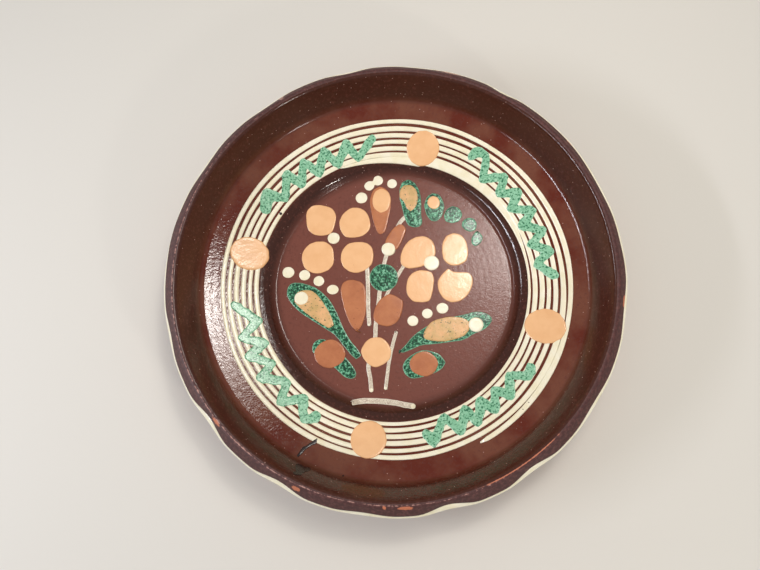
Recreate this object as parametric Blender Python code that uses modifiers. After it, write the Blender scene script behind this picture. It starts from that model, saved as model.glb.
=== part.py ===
"""Earthenware plate with trailed slip decoration.

The fired clay body carries a thin coat of brown slip over its whole face, a cream band round the
outside of its lip, one long cream line wound as a spiral over the flange, and a painted bouquet of
separate slip deposits on its floor. Each deposit is a thin solid of its own, laid on the ones below
it with a small gap. The origin is on the plate's axis, at the level of the table.
"""

import math

import bmesh
import bpy
from mathutils import Vector

MM = 0.001

# Driving dimensions of the body, in millimetres
PLATE_RADIUS = 120.0  # over the cream band on the lip
PLATE_HEIGHT = 42.0  # from the table to the crest
FLOOR_RADIUS = 67.5  # flat floor that holds the bouquet
FLOOR_LEVEL = 6.1  # clay surface of the floor above the table
STEP_RUN = 4.2  # step between the floor and the flange
STEP_RISE = 4.5
FLANGE_RISE = 12.2
WALL_RUN = 7.5  # how far the wall leans outwards between flange and crest
WALL_THICKNESS = 6.5
LIP_REACH = 6.4  # shoulder from the crest outwards and down
LIP_DROP = 6.2
LIP_SIDE = 4.5  # upright outer side of the lip
LIP_UNDERCUT = 3.0
FOOT_RADIUS = 68.0
FOOT_WIDTH = 9.0
FOOT_RECESS = 1.5
SCALLOPS = 16
SCALLOP_DEPTH = 1.6
SCALLOP_BLEND = 9.0  # radial width over which the thumb marks fade in
SEGMENTS = 64  # a multiple of twice the scallops, so that every mark has its own points

# Slips
GAP = 0.3
COAT = 0.6
SLIP = 0.5

# Spiral line and the marks that lie on it
BAND_MARGIN_IN = 1.0
BAND_MARGIN_OUT = 7.8
LINE_GAP = 0.85
LINE_TURNS = 6.49
LINE_START = 299.0  # degrees, at the outer end
LINE_POINTS_PER_TURN = 44
RING_DOT_SPAN = 19.0
# Angle of each ring dot, how far it sits inside the middle of the band, and its length across it
RING_DOTS = {
    "top": (77.4, 3.8, 19.2),
    "left": (167.9, 2.7, 20.6),
    "bottom": (261.2, 0.1, 19.0),
    "right": (342.8, 0.0, 20.8),
}
ZIGZAG_WIDTH = 4.0
ZIGZAG_MARGIN_IN = 6.8  # from the band's inner edge to the inner corners
ZIGZAG_MARGIN_OUT = 8.8
ZIGZAG_NOTCH = 2.9
ZIGZAG_DRIFTS = {"upper_left": 2.5}  # how far a zigzag comes in towards the axis on its way

# Corner angles of the zigzags, alternately at the outer and the inner side of their band
ZIGZAG_CORNERS = {
    "upper_right": [55.5, 49.6, 43.4, 40.4, 35.0, 32.7, 27.1, 24.1, 18.5, 15.3, 10.7, 6.9, 1.6],
    "upper_left": [143.9, 140.8, 133.6, 131.7, 125.8, 123.0, 116.9, 114.0, 108.0, 105.0, 97.9],
    "lower_left": [188.3, 195.5, 199.5, 205.1, 207.6, 213.9, 216.5, 223.5, 227.5, 232.1, 237.6],
    "lower_right": [283.7, 290.0, 293.9, 299.2, 302.0, 305.9, 309.0, 313.0, 316.0, 320.5, 324.0],
}

# The bouquet is drawn for a floor of this radius, and is scaled to the floor that it lies on
DRAWN_FLOOR_RADIUS = 67.5

# Outlines that lie straight on the coat, or on a stem where they cross one: (layer, points)
PETALS = {
    "petal_upper_left_outer": (0, [
        (-33.2, 42), (-35.5, 46.3), (-41, 48.4), (-46.5, 48.3), (-50.3, 44.5), (-50.4, 39),
        (-49.3, 33.8), (-45.5, 30.6), (-40.5, 30), (-36, 31.3), (-33.8, 36)]),
    "petal_upper_left_inner": (0, [
        (-13, 36.5), (-15, 43), (-19, 46.3), (-24, 46.6), (-28.5, 43.5), (-31, 38.5),
        (-30.3, 33), (-27.3, 29), (-22, 28.6), (-17, 29.9), (-13.6, 33.3)]),
    "petal_lower_left_outer": (0, [
        (-34, 17.5), (-35.2, 23), (-39, 26), (-43.5, 26.4), (-48, 25), (-51.5, 21),
        (-52.5, 16.5), (-50.8, 11), (-46.5, 8), (-41.5, 7.6), (-36.5, 9.8), (-34.3, 13)]),
    "petal_lower_left_inner": (1, [
        (-11.2, 18), (-12.3, 22.7), (-15.7, 25.4), (-21, 25.8), (-26, 24.6), (-29.3, 20.5),
        (-30, 15.5), (-28.3, 11), (-24.5, 8.2), (-20.5, 7.6), (-16, 9), (-12.3, 12.5)]),
    "petal_upper_right_inner": (1, [
        (24.2, 18.5), (23.8, 23), (22, 26.4), (18.5, 28.6), (13.5, 28.4), (9, 26),
        (5.7, 21.5), (4.2, 16.5), (4.6, 12.3), (8, 10), (12.5, 10), (17.5, 11.3), (22, 14)]),
    "petal_upper_right_outer": (0, [
        (42.6, 21), (41.5, 26), (38.5, 29.5), (34.5, 30.3), (30.5, 28.5), (28.2, 24),
        (28, 19), (29, 14.5), (32.5, 11.5), (37, 11.4), (41, 13.5), (42.5, 17)]),
    "petal_lower_right_inner": (0, [
        (23, 3), (22, 7), (17.5, 8.7), (12.5, 8), (9, 5), (7.5, 0),
        (8, -5.5), (11, -9), (15.5, -9.8), (20, -9), (21.8, -5)]),
    "petal_lower_right_outer": (0, [
        (44.7, 4), (42.5, 7), (38.5, 7.3), (33.8, 7.8), (31.3, 9.5), (27.5, 6),
        (25.2, 2), (25.5, -3), (28, -7.5), (32.5, -9.9), (37, -9.3), (41.5, -6), (44.2, -1)]),
    "petal_of_base": (1, [
        (-1.2, -37), (-3.2, -32.5), (-7, -29.6), (-12, -29.6), (-15.5, -32), (-18, -36.5),
        (-17, -40.5), (-13.5, -44.5), (-10, -46), (-6, -44.6), (-2.2, -41.5)]),
}

TERRACOTTA = {
    "top_bud": (0, [
        (-1.2, 52), (-3.5, 57.5), (-7.5, 59.5), (-11.3, 57.3), (-13.3, 52), (-12.8, 45),
        (-11, 37), (-9, 31.5), (-7.2, 30.3), (-4.5, 32), (-3, 38), (-1.5, 45)]),
    "stem_sheath": (1, [
        (7.5, 33.2), (6, 35.6), (3.8, 36.3), (0.8, 34.3), (-2.5, 30), (-4.5, 25.5),
        (-2, 21), (2, 21), (4.5, 25), (6.5, 29.5)]),
    "pod_left": (1, [
        (-15.3, -7), (-16, -1), (-18.5, 2.3), (-24.5, 3.6), (-28.5, 1.8), (-29.8, -2.5),
        (-28.7, -9), (-26.5, -16.5), (-23.5, -23), (-20.3, -26), (-17.8, -23), (-15.6, -16)]),
    "pod_right": (1, [
        (5.4, -9), (1.5, -6.2), (-2.5, -4.9), (-7.5, -8.2), (-10.7, -14), (-11, -19.5),
        (-8, -22.3), (-2.5, -23.3), (2.3, -20.5), (4.8, -15)]),
    "berry_left": (1, [
        (-26.6, -38.5), (-28, -34.3), (-32, -31), (-36.5, -30.5), (-41, -32.8), (-44, -37),
        (-43.2, -42), (-39, -45.6), (-34.5, -46.4), (-30, -44.5), (-27.3, -42)]),
    "berry_right": (1, [
        (24.5, -44), (23, -40.5), (19.5, -37.7), (15.5, -37.3), (11.3, -39.3), (8.7, -43),
        (9.5, -47.5), (13.5, -50.3), (18, -51), (22.3, -48.8)]),
}

LEAVES = {
    "leaf_tall": (1, [
        (16.9, 37.5), (16.3, 43), (16.5, 49), (15.8, 55), (13.5, 60.5), (9.5, 63.6), (5.8, 62),
        (4, 57.5), (4, 52), (5.5, 46), (6.8, 40), (8.8, 35.6), (12.5, 34.3), (15.8, 35)]),
    "leaf_second": (0, [
        (29.7, 46), (29, 50.5), (26.5, 54), (23, 54.8), (19.8, 52.3), (18.4, 47.5),
        (19.5, 42), (22, 38.2), (25, 37.8), (28, 40.5)]),
    "leaf_third": (0, [
        (40, 41.5), (38.5, 45), (35.2, 46.7), (31.5, 45), (29.7, 41.2), (30.3, 37.8),
        (34, 36.5), (38, 37.8)]),
    "leaf_trailing_pair": (0, [
        (48.3, 35.5), (46.8, 38.3), (43.5, 39), (40.5, 37.2), (39.9, 34), (42, 31.7),
        (44.5, 30.8), (44.8, 28), (44.8, 24.5), (46.5, 23), (49.3, 24.5), (51, 28),
        (49.6, 30.8), (47.6, 32)]),
    "leaf_long_left": (0, [
        (-60.3, -2), (-59, 1), (-56, 2.1), (-51, 1.6), (-45, -0.5), (-40, -4), (-35.5, -9),
        (-31.5, -16), (-28, -24), (-24, -31), (-19.5, -36.5), (-18, -39.5), (-20.5, -41.3),
        (-24, -38.5), (-28.5, -33), (-33, -27.8), (-39.5, -23.5), (-46.5, -19), (-53, -14.5),
        (-58.3, -9), (-60.3, -5)]),
    "leaf_long_right": (0, [
        (3, -37.3), (6.5, -34), (10, -29.8), (14.5, -26), (20, -22.7), (27, -20.2), (34, -18),
        (40, -16.9), (45.5, -15.5), (50.5, -16), (54.3, -18.5), (54.3, -21), (50.5, -25),
        (44, -28), (38.5, -31), (31, -32.2), (23, -33.2), (15.5, -34), (9.5, -36.3), (5, -38)]),
    "leaf_of_left_berry": (0, [
        (-45, -36.5), (-44.7, -33), (-42.5, -30.8), (-38.8, -30.3), (-34, -33), (-29, -38),
        (-24, -43.5), (-20.7, -48.5), (-21, -51.2), (-23.3, -52.2), (-27, -51), (-32, -46.5),
        (-38, -42), (-43, -39.5)]),
    "leaf_of_right_berry": (0, [
        (5, -45.5), (6.5, -42.3), (10.5, -39), (15.5, -36.9), (21, -37.3), (25.5, -39.3),
        (28.4, -43.3), (26.5, -46.5), (21.5, -49.5), (15.5, -51.3), (9.8, -52), (6.3, -49.7)]),
}

# Peach hearts, each on the leaf or bud of the same name
HEARTS = {
    "top_bud": (1, [
        (-1.2, 51), (-2.5, 56), (-6.5, 58.4), (-10.3, 56.5), (-12, 51.5), (-10.8, 46),
        (-7, 43.2), (-3, 45)]),
    "leaf_tall": (2, [
        (14.7, 52), (13.8, 57), (11, 60), (7, 60.2), (4.3, 57.5), (4, 52.5), (6.3, 49.5),
        (7.8, 45.8), (10.3, 43.7), (12.5, 45.2), (14, 48)]),
    "leaf_second": (1, [
        (27.5, 49.3), (26, 52.3), (23.2, 53.2), (20.6, 51.5), (20, 48.5), (21.5, 45.8),
        (24.3, 45), (26.8, 46.6)]),
    "leaf_long_left": (1, [
        (-54.5, -3.5), (-51, -2.3), (-46.5, -2.5), (-42.5, -5.5), (-38.5, -11), (-35, -17),
        (-33.3, -22.5), (-36, -24.2), (-40, -22), (-45.5, -18.3), (-52, -13.2), (-56, -8.8)]),
    "leaf_long_right": (1, [
        (16.4, -28.5), (18, -24.5), (21.5, -20.8), (27.5, -18.7), (33.5, -18.1), (39, -19),
        (42, -21), (42, -25), (39.5, -28.5), (34, -30.8), (28, -32), (21.5, -31.6),
        (17.3, -30.5)]),
}

# Round dots: (layer, centre x, centre y, radius along x, radius along y)
FLOWER_CENTRE = (1, -5.4, 4.6, 8.1, 8.0)
CREAM_DOTS = {
    "dot_beside_bud": (0, -18.3, 52.7, 3.5, 3.4),
    "dot_right_of_bud": (0, -0.4, 61.2, 2.9, 2.9),
    "dot_between_left_petals": (1, -34.3, 28.3, 3.6, 3.5),
    "dot_on_stem": (2, -2.6, 21.3, 4.1, 4.0),
    "dot_between_right_petals": (2, 21.8, 12.9, 4.5, 4.4),
    "dot_left_row_1": (0, -60.0, 8.2, 3.5, 3.3),
    "dot_left_row_2": (0, -50.6, 6.5, 3.2, 3.1),
    "dot_left_row_3": (0, -42.3, 3.0, 3.1, 3.0),
    "dot_left_row_4": (0, -34.3, -2.1, 3.4, 2.8),
    "dot_right_row_1": (0, 10.8, -20.3, 3.1, 3.0),
    "dot_right_row_2": (0, 18.9, -16.2, 3.0, 2.8),
    "dot_right_row_3": (0, 27.4, -13.3, 3.4, 3.1),
    "dot_on_left_leaf": (2, -52.0, -7.0, 4.1, 4.0),
    "dot_on_right_leaf": (2, 45.7, -22.7, 4.2, 4.2),
}
DOT_PAIR_OUTLINE = [
    (-16.8, 60), (-16, 62), (-13.9, 63.1), (-11.6, 63), (-11, 65.3), (-8.8, 66.4), (-6.6, 65.6),
    (-5.6, 63.4), (-6.4, 61.2), (-8.6, 60.3), (-10.8, 60.7), (-11, 59), (-13, 57.2), (-15.6, 57.6)]
DOT_SIDES = 12
STROKE_PIECES = 4  # in each span of a stroke, so that it follows the foot of the step

# Brushed strokes of thin cream slip, the lowest of the bouquet: (width, centre line)
MAIN_STEM = (2.3, [
    (8, 41.5), (4, 37), (0.5, 30), (-2.6, 21.3), (-5, 13), (-7.2, 0), (-8.3, -10), (-9.8, -22),
    (-10.2, -30), (-11.8, -38), (-13.8, -45.5), (-12.8, -52), (-12.2, -59.3)])
STEM_FORK = (2.0, [(6.5, 12), (2.7, 6), (-1.2, -0.5), (-4.6, -7.5), (-7.4, -14.5), (-9.6, -22)])
SIDE_STROKES = {
    "stem_left": (2.3, [(-15, 13), (-14.5, 5), (-14.2, -5), (-14, -14), (-13.4, -22.8)]),
    "stem_lower_right": (1.9, [(1.7, -26), (-0.2, -32.5), (-1.9, -40), (-3.2, -48), (-4.5, -58)]),
    "ground_line": (3.0, [(-22.6, -65), (-16, -64), (-8, -64.2), (0, -65), (6, -66.2), (11, -67)]),
}

MATERIALS = {  # base colour and roughness
    "earthenware": ((0.50, 0.20, 0.11), 0.85),
    "brown_slip": ((0.12, 0.035, 0.025), 0.18),
    "cream_slip": ((0.84, 0.78, 0.60), 0.2),
    "peach_slip": ((0.86, 0.50, 0.26), 0.2),
    "terracotta_slip": ((0.52, 0.19, 0.08), 0.25),
    "dark_green_slip": ((0.03, 0.15, 0.08), 0.2),
    "mint_green_slip": ((0.21, 0.47, 0.30), 0.2),
}


def clear_scene():
    for obj in list(bpy.data.objects):
        bpy.data.objects.remove(obj, do_unlink=True)


def make_material(name):
    colour, roughness = MATERIALS[name]
    material = bpy.data.materials.new(name)
    material.use_nodes = True
    shader = material.node_tree.nodes["Principled BSDF"]
    shader.inputs["Base Color"].default_value = (*colour, 1.0)
    shader.inputs["Roughness"].default_value = roughness
    return material


# Profiles, as lists of (radius, height)


def offset_path(path, distance):
    """The path moved sideways, to the left of its direction, with mitred corners."""
    moved = []
    for index, here in enumerate(path):
        before = path[max(index - 1, 0)]
        after = path[min(index + 1, len(path) - 1)]
        sides = [(b - a).normalized() for a, b in ((before, here), (here, after)) if a != b]
        normals = [Vector((-side.y, side.x)) for side in sides]
        middle = sum(normals, Vector((0, 0))).normalized()
        moved.append(here + middle * distance / middle.dot(normals[0]))
    return moved


def fillet(path, radii, pieces=2):
    """The path with each inner corner replaced by an arc of its own radius, cut into pieces."""
    rounded = [path[0]]
    for before, corner, after, radius in zip(path, path[1:], path[2:], radii, strict=False):
        if radius == 0:
            rounded.append(corner)
            continue
        to_before = (before - corner).normalized()
        to_after = (after - corner).normalized()
        half = to_before.angle(to_after) / 2
        longest = 0.45 * min((before - corner).length, (after - corner).length)
        tangent = min(radius / math.tan(half), longest)
        centre = corner + (to_before + to_after).normalized() * tangent / math.cos(half)
        start = corner + to_before * tangent - centre
        end = corner + to_after * tangent - centre
        sweep = start.angle_signed(end)
        for step in range(pieces + 1):
            turn = -sweep * step / pieces
            cos, sin = math.cos(turn), math.sin(turn)
            arm = Vector((start.x * cos - start.y * sin, start.x * sin + start.y * cos))
            rounded.append(centre + arm)
    rounded.append(path[-1])
    return rounded


LIP_RADIUS = PLATE_RADIUS - GAP - SLIP
CREST_RADIUS = LIP_RADIUS - LIP_REACH
FLANGE_INNER = FLOOR_RADIUS + STEP_RUN
FLANGE_OUTER = CREST_RADIUS - WALL_RUN
FLANGE_LEVEL = FLOOR_LEVEL + STEP_RISE


CREST = {"level": PLATE_HEIGHT}  # the crest's sharp corner, settled below


def face_corners():
    """Corners of the clay face, from the axis out to the edge of the lip."""
    return [
        Vector((0, FLOOR_LEVEL)),
        Vector((FLOOR_RADIUS, FLOOR_LEVEL)),
        Vector((FLANGE_INNER, FLANGE_LEVEL)),
        Vector((FLANGE_OUTER, FLANGE_LEVEL + FLANGE_RISE)),
        Vector((CREST_RADIUS, CREST["level"])),
        Vector((LIP_RADIUS, CREST["level"] - LIP_DROP)),
    ]


FACE_ROUNDING = [2.5, 1.5, 7.0, 1.8]
LIP_ROUNDING = [1.0, 1.2, 1.0, 9.0, 0, 1.0, 0, 0]


def clay_profile():
    """The closed profile of the body, from the axis over the face and back under the foot."""
    face = face_corners()
    _, flange_end, crest = offset_path(face[2:5], -WALL_THICKNESS)
    side_level = CREST["level"] - LIP_DROP - LIP_SIDE
    under_level = side_level - LIP_UNDERCUT
    part = (under_level - flange_end.y) / (crest.y - flange_end.y)
    under_lip = flange_end.lerp(crest, part)
    slope = (face[3] - face[2]).normalized()
    foot_top = FOOT_RADIUS + FOOT_WIDTH / 2
    under_start = flange_end + slope * (foot_top - flange_end.x) / slope.x
    back = [
        Vector((LIP_RADIUS, side_level)),
        under_lip,
        flange_end,
        under_start,
        Vector((FOOT_RADIUS, 0)),
        Vector((FOOT_RADIUS - FOOT_WIDTH, 0)),
        Vector((FOOT_RADIUS - FOOT_WIDTH - FOOT_RECESS, FOOT_RECESS)),
        Vector((0, FOOT_RECESS)),
    ]
    return fillet(face + back, FACE_ROUNDING + LIP_ROUNDING)


def coat_line(rise):
    """The clay face raised by a distance along its normals, from the axis to the lip's edge."""
    face = fillet(face_corners(), FACE_ROUNDING)
    raised = offset_path(face, rise)
    raised[0].x = 0
    return raised


def coat_profile():
    return coat_line(GAP + COAT) + coat_line(GAP)[::-1]


def edge_band_profile():
    """The cream band on the upright side of the lip."""
    top = CREST["level"] - LIP_DROP - GAP - COAT
    bottom = CREST["level"] - LIP_DROP - LIP_SIDE
    inner, outer = LIP_RADIUS + GAP, LIP_RADIUS + GAP + SLIP
    corners = [(inner, top), (outer, top), (outer, bottom), (inner, bottom), (inner, top)]
    return [Vector(corner) for corner in corners]


def settle_crest():
    """Raises the crest's sharp corner until its rounded and coated top is at PLATE_HEIGHT."""
    for _ in range(4):
        top = max(height for _, height in coat_line(GAP + COAT))
        CREST["level"] += PLATE_HEIGHT - top


settle_crest()
SURFACE = coat_line(GAP + COAT)


def surface_height(radius):
    """Height of the brown coat's face at this distance from the axis."""
    for inner, outer in zip(SURFACE, SURFACE[1:]):
        if radius <= outer.x and outer.x > inner.x:
            return inner.y + (outer.y - inner.y) * (radius - inner.x) / (outer.x - inner.x)
    return SURFACE[-1].y


# Solids


def mesh_of(obj):
    """A welded mesh of the object as it is evaluated; the object itself is removed."""
    bpy.context.view_layer.update()
    evaluated = obj.evaluated_get(bpy.context.evaluated_depsgraph_get())
    mesh = bpy.data.meshes.new_from_object(evaluated)
    bm = bmesh.new()
    bm.from_mesh(mesh)
    bmesh.ops.remove_doubles(bm, verts=bm.verts, dist=1e-6)
    bmesh.ops.recalc_face_normals(bm, faces=bm.faces)
    bm.to_mesh(mesh)
    bm.free()
    bpy.data.objects.remove(obj, do_unlink=True)
    return mesh


def add_piece(name, mesh, material):
    mesh.name = name
    mesh.materials.clear()
    mesh.materials.append(MATERIAL[material])
    mesh.shade_smooth()
    mesh.set_sharp_from_angle(angle=math.radians(35))
    obj = bpy.data.objects.new(name, mesh)
    COLLECTION.objects.link(obj)
    return obj


def thumb_mark(angle):
    """1 in the middle of a thumb mark, and 0 at the top of a lobe."""
    return 1 - abs(math.cos(SCALLOPS / 2 * angle))


def press_thumb_marks(mesh):
    """Moves the lip's points towards the axis at each thumb mark."""
    start = CREST_RADIUS + LIP_REACH - SCALLOP_BLEND
    for vertex in mesh.vertices:
        radius = math.hypot(vertex.co.x, vertex.co.y) / MM
        share = (radius - start) / SCALLOP_BLEND
        if share <= 0:
            continue
        angle = math.atan2(vertex.co.y, vertex.co.x)
        inward = SCALLOP_DEPTH * min(share, 1.0) * thumb_mark(angle)
        vertex.co.x *= (radius - inward) / radius
        vertex.co.y *= (radius - inward) / radius


def turned_piece(name, profile, material):
    """A profile turned about +Z, with the lip's thumb marks pressed into it."""
    mesh = bpy.data.meshes.new(name)
    points = [(radius * MM, 0, height * MM) for radius, height in profile]
    mesh.from_pydata(points, [(n, n + 1) for n in range(len(points) - 1)], [])
    obj = bpy.data.objects.new(name, mesh)
    COLLECTION.objects.link(obj)
    screw = obj.modifiers.new("turn", "SCREW")
    screw.axis = "Z"
    screw.angle = math.tau
    screw.steps = screw.render_steps = SEGMENTS
    screw.use_merge_vertices = True
    screw.merge_threshold = 1e-5
    body = mesh_of(obj)
    press_thumb_marks(body)
    return add_piece(name, body, material)


def drape(mesh, layer):
    """Lays a flat slab on the coat, above the given number of deposits below it."""
    base = GAP + layer * (SLIP + GAP)
    for vertex in mesh.vertices:
        top = SLIP if vertex.co.z > 0 else 0
        radius = math.hypot(vertex.co.x, vertex.co.y) / MM
        vertex.co.z = (surface_height(radius) + base + top) * MM


def flat_curve(name, points, cyclic):
    curve = bpy.data.curves.new(name, "CURVE")
    curve.dimensions = "2D"
    spline = curve.splines.new("POLY")
    spline.points.add(len(points) - 1)
    for place, (x, y) in zip(spline.points, points):
        place.co = (x * MM, y * MM, 0, 1)
    spline.use_cyclic_u = cyclic
    obj = bpy.data.objects.new(name, curve)
    COLLECTION.objects.link(obj)
    return obj


def slab_from_outline(name, outline):
    obj = flat_curve(name, outline, cyclic=True)
    obj.data.fill_mode = "BOTH"
    obj.data.extrude = SLIP / 2 * MM
    return mesh_of(obj)


def slab_from_stroke(name, centre_line, width):
    """A flat strip of one width along a centre line."""
    half, rise = width / 2, SLIP / 2
    section = flat_curve(
        name + "_section", [(-half, -rise), (half, -rise), (half, rise), (-half, rise)], cyclic=True
    )
    obj = flat_curve(name, centre_line, cyclic=False)
    obj.data.bevel_mode = "OBJECT"
    obj.data.bevel_object = section
    obj.data.use_fill_caps = True
    mesh = mesh_of(obj)
    bpy.data.objects.remove(section, do_unlink=True)
    return mesh


def deposit(name, slab, layer, material):
    drape(slab, layer)
    return add_piece(name, slab, material)


def joined_slab(name, first, second):
    """The union of two flat slabs."""
    base = bpy.data.objects.new(name, first)
    other = bpy.data.objects.new(name + "_other", second)
    COLLECTION.objects.link(base)
    COLLECTION.objects.link(other)
    union = base.modifiers.new("join", "BOOLEAN")
    union.operation = "UNION"
    union.solver = "EXACT"
    union.object = other
    mesh = mesh_of(base)
    bpy.data.objects.remove(other, do_unlink=True)
    return mesh


# Outlines


def polar(angle, radius):
    return (radius * math.cos(math.radians(angle)), radius * math.sin(math.radians(angle)))


def scaled(points):
    """Points of the bouquet, moved from the drawn floor to the real one."""
    share = FLOOR_RADIUS / DRAWN_FLOOR_RADIUS
    return [(x * share, y * share) for x, y in points]


def smooth_line(points):
    """A smooth line through the points, with each span cut into equal pieces."""
    rail = [Vector(point) for point in points]
    ends = [2 * rail[0] - rail[1], *rail, 2 * rail[-1] - rail[-2]]
    line = []
    for a, b, c, d in zip(ends, ends[1:], ends[2:], ends[3:]):
        for n in range(STROKE_PIECES):
            t = n / STROKE_PIECES
            bend = (2 * a - 5 * b + 4 * c - d) * t * t + (3 * b - a - 3 * c + d) * t**3
            line.append(tuple(b + ((c - a) * t + bend) / 2))
    return [*line, tuple(rail[-1])]


def oval(x, y, radius_x, radius_y):
    turns = [math.tau * n / DOT_SIDES for n in range(DOT_SIDES)]
    return [(x + radius_x * math.cos(turn), y + radius_y * math.sin(turn)) for turn in turns]


BAND_INNER = FLANGE_INNER + BAND_MARGIN_IN
BAND_OUTER = FLANGE_OUTER - BAND_MARGIN_OUT
LINE_PITCH = (BAND_OUTER - BAND_INNER + LINE_GAP) / (LINE_TURNS + 1)
LINE_WIDTH = LINE_PITCH - LINE_GAP


def spiral_centre_line():
    count = round(LINE_TURNS * LINE_POINTS_PER_TURN)
    line = []
    for n in range(count + 1):
        turns = LINE_TURNS * n / count
        radius = BAND_OUTER - LINE_WIDTH / 2 - LINE_PITCH * turns
        line.append(polar(LINE_START + 360 * turns, radius))
    return line


def ring_dot_outline(angle, inset, length):
    """An oval on the flange, upright across the band."""
    middle = (BAND_INNER + BAND_OUTER) / 2 - inset
    turn = math.radians(angle)
    outward = Vector((math.cos(turn), math.sin(turn)))
    along = Vector((-outward.y, outward.x))
    return [
        tuple(outward * (middle + x) + along * y)
        for x, y in oval(0, 0, length / 2, RING_DOT_SPAN / 2)
    ]


def zigzag_outline(corners, drift):
    """Outline of a zigzag stroke: a blunt tip at each corner and a notch on the other side."""
    outer = BAND_OUTER - ZIGZAG_MARGIN_OUT
    inner = BAND_INNER + ZIGZAG_MARGIN_IN
    spread = math.degrees(ZIGZAG_WIDTH / 2 / outer)
    way = 1 if corners[-1] > corners[0] else -1
    upper, lower = [], []
    for index, angle in enumerate(corners):
        first, last = index == 0, index == len(corners) - 1
        at_outer = index % 2 == 0
        tip, side = (outer, 1) if at_outer else (inner, -1)
        tip -= drift * index / (len(corners) - 1)
        blunt = [
            polar(angle - way * spread, tip),
            polar(angle - way * spread / 2, tip + side * ZIGZAG_WIDTH / 2),
            polar(angle + way * spread / 2, tip + side * ZIGZAG_WIDTH / 2),
            polar(angle + way * spread, tip),
        ]
        notch = [] if first or last else [polar(angle, tip - side * ZIGZAG_NOTCH)]
        upper += blunt if at_outer else notch
        lower += notch if at_outer else blunt
    return upper + lower[::-1]


# The pieces


def build_body():
    turned_piece("clay_body", clay_profile(), "earthenware")
    turned_piece("brown_slip_coat", coat_profile(), "brown_slip")
    turned_piece("cream_edge_band", edge_band_profile(), "cream_slip")


def build_flange_marks():
    line = slab_from_stroke("cream_spiral_line", spiral_centre_line(), LINE_WIDTH)
    deposit("cream_spiral_line", line, 0, "cream_slip")
    for place, (angle, inset, length) in RING_DOTS.items():
        name = f"ring_dot_{place}"
        outline = ring_dot_outline(angle, inset, length)
        deposit(name, slab_from_outline(name, outline), 1, "peach_slip")
    for place, corners in ZIGZAG_CORNERS.items():
        name = f"zigzag_{place}"
        outline = zigzag_outline(corners, ZIGZAG_DRIFTS.get(place, 0.0))
        deposit(name, slab_from_outline(name, outline), 1, "mint_green_slip")


def build_strokes():
    width, line = MAIN_STEM
    stem = slab_from_stroke("stem_main", smooth_line(scaled(line)), width)
    width, line = STEM_FORK
    fork = slab_from_stroke("stem_fork", smooth_line(scaled(line)), width)
    deposit("stem_main", joined_slab("stem_main", stem, fork), 0, "cream_slip")
    for name, (width, line) in SIDE_STROKES.items():
        slab = slab_from_stroke(name, smooth_line(scaled(line)), width)
        deposit(name, slab, 0, "cream_slip")


def build_outlined_marks():
    groups = [
        (PETALS, "{}", "peach_slip"),
        (TERRACOTTA, "{}", "terracotta_slip"),
        (LEAVES, "{}", "dark_green_slip"),
        (HEARTS, "heart_of_{}", "peach_slip"),
    ]
    for outlines, pattern, material in groups:
        for key, (layer, points) in outlines.items():
            name = pattern.format(key)
            deposit(name, slab_from_outline(name, scaled(points)), layer, material)


def build_dots():
    layer, *shape = FLOWER_CENTRE
    slab = slab_from_outline("flower_centre", scaled(oval(*shape)))
    deposit("flower_centre", slab, layer, "dark_green_slip")
    for name, (layer, *shape) in CREAM_DOTS.items():
        deposit(name, slab_from_outline(name, scaled(oval(*shape))), layer, "cream_slip")
    pair = slab_from_outline("dot_pair_over_bud", scaled(DOT_PAIR_OUTLINE))
    deposit("dot_pair_over_bud", pair, 0, "cream_slip")


clear_scene()
COLLECTION = bpy.data.collections.new("hand_painted_plate")
bpy.context.scene.collection.children.link(COLLECTION)
MATERIAL = {name: make_material(name) for name in MATERIALS}
build_body()
build_flange_marks()
build_strokes()
build_outlined_marks()
build_dots()
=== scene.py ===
"""Looks of a hand painted slipware plate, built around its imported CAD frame.

The plate is thrown earthenware under a brown slip. A cream line is wound over its flange, a
bouquet of slip dots and leaves lies on its floor, and a clear lead glaze covers the face. Sizes in
the classes are millimetres; meshes are metres, in the frame of the CAD model.
"""

import logging
import math
from dataclasses import dataclass, field
from enum import Enum

import bmesh
import bpy
from mathutils import Matrix, Vector, kdtree, noise


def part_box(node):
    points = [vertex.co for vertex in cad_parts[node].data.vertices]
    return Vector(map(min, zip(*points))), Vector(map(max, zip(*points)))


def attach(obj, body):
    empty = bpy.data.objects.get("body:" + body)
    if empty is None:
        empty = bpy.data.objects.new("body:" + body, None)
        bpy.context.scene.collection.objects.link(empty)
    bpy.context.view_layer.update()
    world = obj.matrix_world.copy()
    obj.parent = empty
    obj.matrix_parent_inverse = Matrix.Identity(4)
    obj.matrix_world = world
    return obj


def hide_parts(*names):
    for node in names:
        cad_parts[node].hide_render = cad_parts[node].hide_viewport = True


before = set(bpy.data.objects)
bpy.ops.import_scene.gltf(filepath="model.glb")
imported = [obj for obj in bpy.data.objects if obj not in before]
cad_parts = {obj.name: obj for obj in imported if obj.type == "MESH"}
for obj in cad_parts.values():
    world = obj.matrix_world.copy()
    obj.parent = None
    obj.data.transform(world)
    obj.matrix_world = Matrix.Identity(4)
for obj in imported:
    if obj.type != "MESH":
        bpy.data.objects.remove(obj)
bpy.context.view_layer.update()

MM = 0.001
# Seed of the noise that makes the outlines uneven, so that each run gives the same ones
SEED = 5
LOG = logging.getLogger("slipware_plate")


# Materials


def linear(hex_colour: str) -> tuple[float, float, float, float]:
    """Turns an sRGB hex colour into a linear one.

    Args:
        hex_colour: Six hex digits after a hash sign.

    Returns:
        Linear red, green and blue, and an alpha of 1.
    """
    shares = [int(hex_colour[n : n + 2], 16) / 255 for n in (1, 3, 5)]
    lit = [s / 12.92 if s <= 0.04045 else ((s + 0.055) / 1.055) ** 2.4 for s in shares]
    return (lit[0], lit[1], lit[2], 1.0)


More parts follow.
